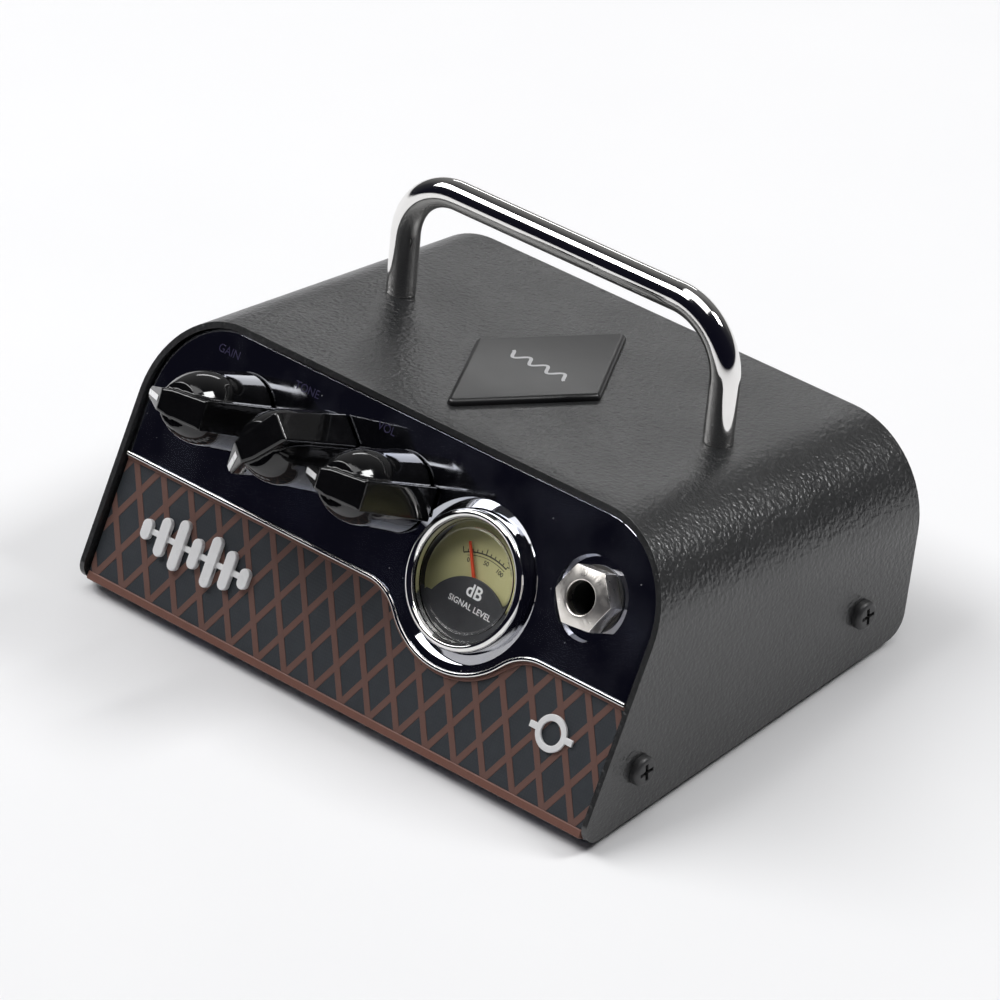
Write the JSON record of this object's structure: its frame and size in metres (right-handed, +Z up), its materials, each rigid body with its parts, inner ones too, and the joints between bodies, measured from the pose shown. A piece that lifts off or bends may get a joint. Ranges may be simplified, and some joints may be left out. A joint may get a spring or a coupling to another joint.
{
  "type": "guitar amplifier head",
  "caption": "Compact guitar amplifier head: bent metal cover with a chrome handle, raked control panel with knobs, meter and jack over a lattice grille.",
  "frame": {"origin": "centre of the bottom of the whole object's box, on the surface that the feet stand on", "axes": "+X to the right seen from the front, +Y to the back, +Z up"},
  "size_m": [0.135, 0.101, 0.0771],
  "materials": {
    "cover_paint": "satin textured",
    "panel_gloss": "dark mirror plating",
    "chrome": "polished",
    "grille_print": "matte with brown lattice",
    "piping": "satin",
    "mark_white": "satin",
    "knob_gloss": "gloss",
    "steel": "plated",
    "black_steel": "black oxide",
    "meter_glass": "clear",
    "dial_paper": "printed",
    "mask_grey": "matte",
    "needle_red": "matte",
    "black_plastic": "moulded",
    "grey_metal": "plated",
    "rubber": "matte",
    "brass": "turned",
    "circuit_board": "solder mask",
    "aluminium": "extruded",
    "chip_black": "moulded",
    "tube_glass": "clear",
    "ribbon_grey": "flexible"
  },
  "bodies": {
    "case": {"amplifier_chip": "chip_black", "base_chassis": "cover_paint", "board_screws": "steel", "board_standoffs": "brass", "capacitors": "aluminium", "chrome_lip": "chrome", "clinch_nuts": "steel", "control_board": "circuit_board", "dc_inlet": "black_plastic", "dc_pin": "brass", "feet": "rubber", "feet_screws": "steel", "filter_chokes": "chip_black", "flat_tube": "tube_glass", "front_panel": "panel_gloss", "front_panel_screws": "steel", "grille_board": "grille_print", "grille_piping": "piping", "handle": "chrome", "handle_screws": "steel", "handle_washers": "steel", "heat_sink": "aluminium", "input_jack": "black_plastic", "input_nut": "chrome", "input_washer": "black_steel", "main_board": "circuit_board", "meter_bezel": "chrome", "meter_dial": "dial_paper", "meter_glass": "meter_glass", "meter_housing": "black_plastic", "meter_mask": "mask_grey", "meter_movement": "grey_metal", "meter_retainer": "steel", "output_jacks": "black_plastic", "output_nuts": "steel", "pot_nuts": "steel", "pot_washers": "steel", "potentiometers": "grey_metal", "rear_panel": "cover_paint", "rear_panel_screws": "black_steel", "ribbon_cable": "ribbon_grey", "ribbon_headers": "black_plastic", "side_mark": "mark_white", "side_screws": "black_steel", "switch_bodies": "black_plastic", "top_badge": "panel_gloss", "top_cover": "cover_paint", "tube_board": "circuit_board", "tube_cradle": "rubber", "wave_emblem": "mark_white"},
    "gain": {"gain_knob": "knob_gloss", "gain_shaft": "steel"},
    "tone": {"tone_knob": "knob_gloss", "tone_shaft": "steel"},
    "volume": {"volume_knob": "knob_gloss", "volume_shaft": "steel"},
    "needle": {"meter_needle": "needle_red"},
    "power_slide": {"power_lever": "black_plastic"},
    "eq_slide": {"eq_lever": "black_plastic"},
    "attenuator_slide": {"attenuator_lever": "black_plastic"}
  },
  "joints": [
    {"name": "gain_turn", "type": "hinge", "parent": "case", "child": "gain", "pos_m": [-0.0412, -0.02973, 0.04172], "axis": [0, -0.8643, 0.503], "range_deg": [-244, 56]},
    {"name": "tone_turn", "type": "hinge", "parent": "case", "child": "tone", "pos_m": [-0.0206, -0.02973, 0.04172], "axis": [0, -0.8643, 0.503], "range_deg": [-288, 12]},
    {"name": "volume_turn", "type": "hinge", "parent": "case", "child": "volume", "pos_m": [0, -0.02973, 0.04172], "axis": [0, -0.8643, 0.503], "range_deg": [-244, 56]},
    {"name": "needle_swing", "type": "hinge", "parent": "case", "child": "needle", "pos_m": [0.0219, -0.03171, 0.03095], "axis": [0, -0.8643, 0.503], "range_deg": [-61, 0], "stiffness_Nm_per_rad": 0.00001},
    {"name": "power_slide", "type": "slide", "parent": "case", "child": "power_slide", "axis": [-1, 0, 0], "range_m": [-0.002, 0.002]},
    {"name": "eq_slide", "type": "slide", "parent": "case", "child": "eq_slide", "axis": [-1, 0, 0], "range_m": [0, 0.004]},
    {"name": "attenuator_slide", "type": "slide", "parent": "case", "child": "attenuator_slide", "axis": [-1, 0, 0], "range_m": [-0.002, 0.002]}
  ]
}
